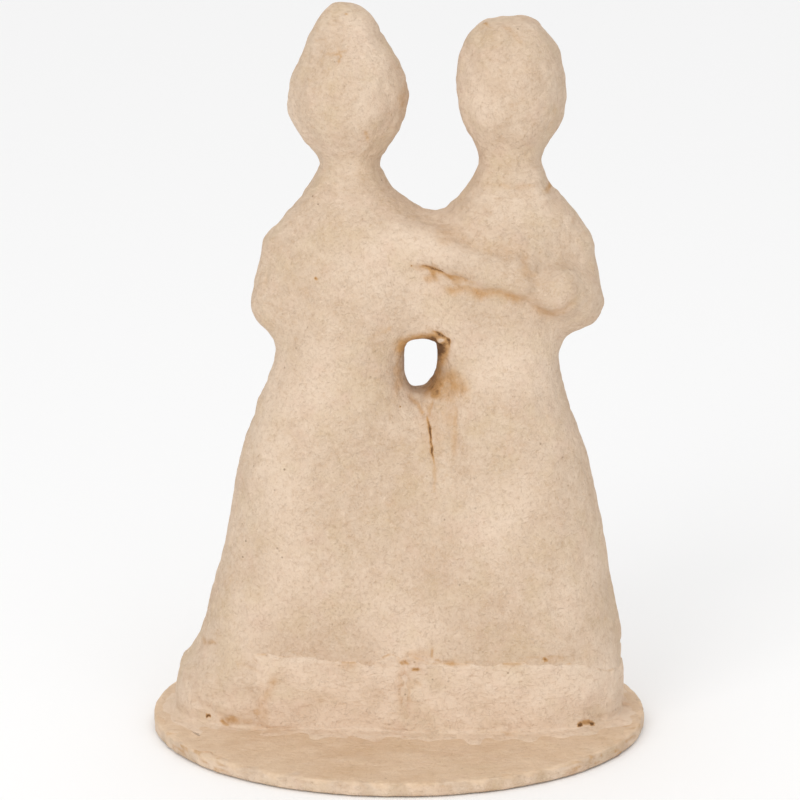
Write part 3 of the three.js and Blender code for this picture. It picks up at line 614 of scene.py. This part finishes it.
RINGS = 46
share = np.linspace(0.2, 1, RINGS) ** 0.8
torn = outline - 0.5 - 2.2 * smooth(0.5, 1.3, TEAR(at_edge)) - 0.35 * np.abs(FINE_TEAR(at_edge))
flat = np.concatenate([s * torn[:, None] * circle for s in share])
sag = 0.14 * DENTS(flat) + 0.1 * LUMPS(flat)
top, under = flat.copy(), flat.copy()
top[:, 2] = FOOT_TOP + sag - 0.05
top[-AROUND:, 2] -= 0.25  # the edge is pressed down
under[:, 2] = FOOT_TOP - 0.4 + np.minimum(sag, 0)
pieces["base_top_paper"] = closed_layer("base_top_paper", top, under, ring_facets(RINGS - 1, AROUND),
                                        stain=0.06 * np.abs(PATCH(flat)), tone=0.3 + 0.08 * LUMPS(flat))


# Materials

def node_maker(tree):
    """A function that adds a node to the tree, with its settings, and its inputs set or linked."""
    def make(kind, inputs=(), **settings):
        node = tree.nodes.new(kind)
        for key, value in settings.items():
            setattr(node, key, value)
        for key, value in dict(inputs).items():
            if hasattr(value, "is_output"):
                tree.links.new(value, node.inputs[key])
            else:
                node.inputs[key].default_value = value
        return node
    return make


def linear(red, green, blue):
    """A colour of 0 to 255 in each channel, as the shader's light amounts."""
    def channel(value):
        value /= 255
        return value / 12.92 if value <= 0.04045 else ((value + 0.055) / 1.055) ** 2.4
    return (channel(red), channel(green), channel(blue), 1)


def kraft(name, base, pale, tan, blotch=1.0, lie=(1, 1, 1)):
    """Kraft paper: blotches, pulp fibres, specks, stains and painted shade from the mesh, and a fibrous
    surface.

    blotch is how blotchy it is, and lie how far its streaks are drawn out along each axis.
    """
    palest = linear(231, 209, 187)
    # Tan and brown for stains, also used for the painted shade in creases, along the hem's edge and at the
    # skirt's foot.
    stain_tan, brown = linear(190, 143, 88), linear(104, 72, 46)
    yellow, pink = linear(206, 183, 147), linear(214, 184, 163)
    soil_dark, soil_pale = linear(219, 191, 161), linear(229, 203, 175)
    material = bpy.data.materials.new(name)
    material.use_nodes = True
    tree = material.node_tree
    shader = tree.nodes["Principled BSDF"]
    make = node_maker(tree)
    place = make("ShaderNodeTexCoord").outputs["Object"]

    def noise(scale, detail=4, rough=0.6, stretch=None, warp=0):
        at = place
        if stretch:
            at = make("ShaderNodeMapping", {"Vector": place, "Rotation": stretch[1], "Scale": stretch[0]},
                      vector_type="TEXTURE").outputs[0]
        return make("ShaderNodeTexNoise", {"Vector": at, "Scale": scale, "Detail": detail, "Roughness": rough,
                                           "Distortion": warp}).outputs["Fac"]

    def ramp(value, low, high, to_low=0.0, to_high=1.0):
        return make("ShaderNodeMapRange", {"Value": value, "From Min": low, "From Max": high,
                                           "To Min": to_low, "To Max": to_high},
                    interpolation_type="SMOOTHSTEP").outputs[0]

    def times(a, b):
        return make("ShaderNodeMath", {0: a, 1: b}, operation="MULTIPLY").outputs[0]

    def plus(a, b):
        return make("ShaderNodeMath", {0: a, 1: b}, operation="ADD").outputs[0]

    def mix(share, a, b):
        node = make("ShaderNodeMix", data_type="RGBA")
        for socket, value in ((node.inputs["Factor"], share), (node.inputs["A"], a), (node.inputs["B"], b)):
            if hasattr(value, "is_output"):
                tree.links.new(value, socket)
            else:
                socket.default_value = value
        return node.outputs["Result"]

    def attribute(label):
        return make("ShaderNodeAttribute", attribute_name=label, attribute_type="GEOMETRY").outputs["Fac"]

    colour = mix(ramp(noise(34, 5, 0.62), 0.3, 0.74), base, pale)
    # Blotches: the noise, from where to where it shows, how strongly, and its colour
    for scale, detail, rough, warp, low, high, share, over in (
        (58, 6, 0.68, 0.6, 0.5, 0.8, 0.24 * blotch, tan),
        (260, 6, 0.8, 1.2, 0.45, 0.72, 0.5 * blotch, tan),
        (330, 6, 0.8, 1.0, 0.48, 0.7, 0.55, pale),
        (170, 3, 0.5, 0.5, 0.45, 0.66, 0.2 * blotch, tan),
        (215, 3, 0.5, 0.5, 0.48, 0.68, 0.22 * blotch, palest),
        # On the hem strips this paleness is partly painted light.
        (None, 0, 0, 0, 0.35, 1.0, 0.85, palest),  # where the mesh says that the paper is pale
        (88, 4, 0.6, 0, 0.46, 0.7, 0.3 * blotch, yellow),
        (120, 4, 0.6, 0, 0.5, 0.72, 0.3 * blotch, pink),
    ):
        amount = noise(scale, detail, rough, warp=warp) if scale else attribute("tone")
        colour = mix(times(ramp(amount, low, high), share), colour, over)
    turns = ((0.3, 0.2, 0), (0.2, 0.9, 0.4), (0, 1.5, 0.3), (0.4, 2.1, 0), (0.1, 2.7, 0.5))
    strands = [ramp(noise(1150 + 160 * i, 2, 0.5, ((1, 1, 3.6), turn), 1.2), 0.62, 0.7)
               for i, turn in enumerate(turns)]
    fibres = plus(plus(strands[0], strands[1]), plus(plus(strands[2], strands[3]), strands[4]))
    colour = mix(times(fibres, 0.15), colour, tan)
    pale_strands = noise(900, 3, 0.6, ((1, 1, 3), (0.2, 1.2, 0)), 1.2)
    colour = mix(times(ramp(pale_strands, 0.58, 0.7), 0.4), colour, pale)
    cells = make("ShaderNodeTexVoronoi", {"Vector": place, "Scale": 330, "Randomness": 1})
    chance = ramp(noise(47, 2), 0.42, 0.7)
    speck = times(ramp(cells.outputs["Distance"], 0.16, 0.06), ramp(cells.outputs["Color"], 0.62, 0.68))
    colour = mix(times(times(speck, chance), 0.55), colour, brown)
    streaks = noise(880, 4, 0.7, (lie, (0, 0, 0)), 0.8)
    colour = mix(times(ramp(streaks, 0.52, 0.7), 0.4), colour, tan)
    colour = mix(times(ramp(streaks, 0.46, 0.3), 0.45), colour, palest)
    soiled = attribute("soil")
    colour = mix(soiled, colour, mix(ramp(noise(210, 5, 0.7), 0.35, 0.65), soil_dark, soil_pale))
    # This attribute holds real stains, and painted shade in creases, along the hem's top edge and where the
    # skirt meets the foot.
    stained = attribute("stain")
    ragged = times(stained, ramp(noise(340, 5, 0.75), 0.3, 0.62, 0.7, 1.15))
    colour = mix(ramp(ragged, 0, 0.7, 0, 0.9), colour, stain_tan)
    colour = mix(ramp(ragged, 0.6, 1.1, 0, 0.9), colour, brown)
    tree.links.new(colour, shader.inputs["Base Color"])
    tree.links.new(ramp(noise(120, 3), 0.3, 0.7, 0.82, 0.95), shader.inputs["Roughness"])
    shader.inputs["Specular IOR Level"].default_value = 0.25
    height = plus(times(noise(480, 6, 0.62), 0.8), times(fibres, 0.12))
    height = plus(plus(height, times(streaks, 0.3)), times(noise(130, 4, 0.6), 0.8))
    bump = make("ShaderNodeBump", {"Height": height, "Strength": 0.8, "Distance": 0.0007})
    tree.links.new(bump.outputs[0], shader.inputs["Normal"])
    return material


PULP = kraft("moulded_pulp", linear(208, 184, 160), linear(218, 196, 173), linear(192, 159, 126))
STRIP = kraft("kraft_strip", linear(208, 184, 160), linear(219, 197, 174), linear(192, 159, 126),
              lie=(4, 4, 1))
DISC = kraft("kraft_disc", linear(217, 189, 159), linear(225, 199, 171), linear(201, 167, 133),
             blotch=0.6, lie=(5, 1, 1))
CARD = kraft("board", linear(196, 166, 127), linear(206, 178, 142), linear(172, 138, 100))
LOOKS = {"moulded_pulp": PULP, "kraft_strip": STRIP, "kraft_disc": DISC, "board": CARD}

for name, piece in pieces.items():
    slot = material_slot(name)
    piece.data.materials.append(LOOKS[slot])
for name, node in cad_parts.items():
    if name not in pieces:
        node.data.materials.clear()
        node.data.materials.append(LOOKS[material_slot(name)])


# Studio

FLOOR_HALF = 4.0
floor_mesh = bpy.data.meshes.new("floor")
floor_corners = [(-FLOOR_HALF, -FLOOR_HALF, 0), (FLOOR_HALF, -FLOOR_HALF, 0),
                 (FLOOR_HALF, FLOOR_HALF, 0), (-FLOOR_HALF, FLOOR_HALF, 0)]
floor_mesh.from_pydata(floor_corners, [], [(0, 1, 2, 3)])
floor = bpy.data.objects.new("floor", floor_mesh)
bpy.context.collection.objects.link(floor)
paint = bpy.data.materials.new("studio_floor")
paint.use_nodes = True
paint.node_tree.nodes["Principled BSDF"].inputs["Base Color"].default_value = (0.96, 0.96, 0.96, 1)
paint.node_tree.nodes["Principled BSDF"].inputs["Roughness"].default_value = 0.9
floor_mesh.materials.append(paint)

world = bpy.data.worlds.new("studio")
bpy.context.scene.world = world
world.use_nodes = True
background = world.node_tree.nodes["Background"]
background.inputs["Color"].default_value = (1, 1, 1, 1)
# Softer from the sides than from the front, the back and above, as between two large screens
make = node_maker(world.node_tree)
way = make("ShaderNodeSeparateXYZ", {0: make("ShaderNodeTexCoord").outputs["Generated"]}).outputs
aside = make("ShaderNodeMath", {0: way["X"]}, operation="ABSOLUTE").outputs[0]
dim = make("ShaderNodeMapRange", {"Value": aside, "From Min": 0.35, "From Max": 0.95,
                                  "To Min": 0.86, "To Max": 0.5}).outputs[0]
higher = make("ShaderNodeMapRange", {"Value": way["Z"], "From Min": 0.2, "From Max": 1,
                                     "To Min": 1, "To Max": 1.35}).outputs[0]
strength = make("ShaderNodeMath", {0: dim, 1: higher}, operation="MULTIPLY").outputs[0]
world.node_tree.links.new(strength, background.inputs["Strength"])
bpy.context.scene.view_settings.view_transform = "Standard"

LAMPS_AIM = (0, 0, 0.11)


def lamp(name, place, size, power):
    """A square area light that is aimed at the couple's middle."""
    data = bpy.data.lights.new(name, "AREA")
    data.energy, data.size = power, size
    light = bpy.data.objects.new(name, data)
    light.location = place
    aim = Vector(LAMPS_AIM) - light.location
    light.rotation_euler = aim.to_track_quat("-Z", "Y").to_euler()
    bpy.context.collection.objects.link(light)


lamp("key", (-0.8, -1.5, 0.9), 0.9, 8)
lamp("fill", (0.6, -1.6, 0.4), 0.9, 2.5)

# The photograph's camera, from the foot's ellipse and the couple's outline
ELEVATION, DISTANCE, LENS = math.radians(12.693), 1.150, 172.14
CAMERA_ASIDE, CAMERA_AIM_HEIGHT = 0.00031, 0.1005
data = bpy.data.cameras.new("photo_camera")
data.sensor_width, data.lens = 36, LENS
data.clip_start, data.clip_end = 0.05, 20
camera = bpy.data.objects.new("photo_camera", data)
camera.location = (CAMERA_ASIDE, -DISTANCE * math.cos(ELEVATION),
                   CAMERA_AIM_HEIGHT + DISTANCE * math.sin(ELEVATION))
camera.rotation_euler = (math.pi / 2 - ELEVATION, 0, 0)
bpy.context.collection.objects.link(camera)
bpy.context.scene.camera = camera
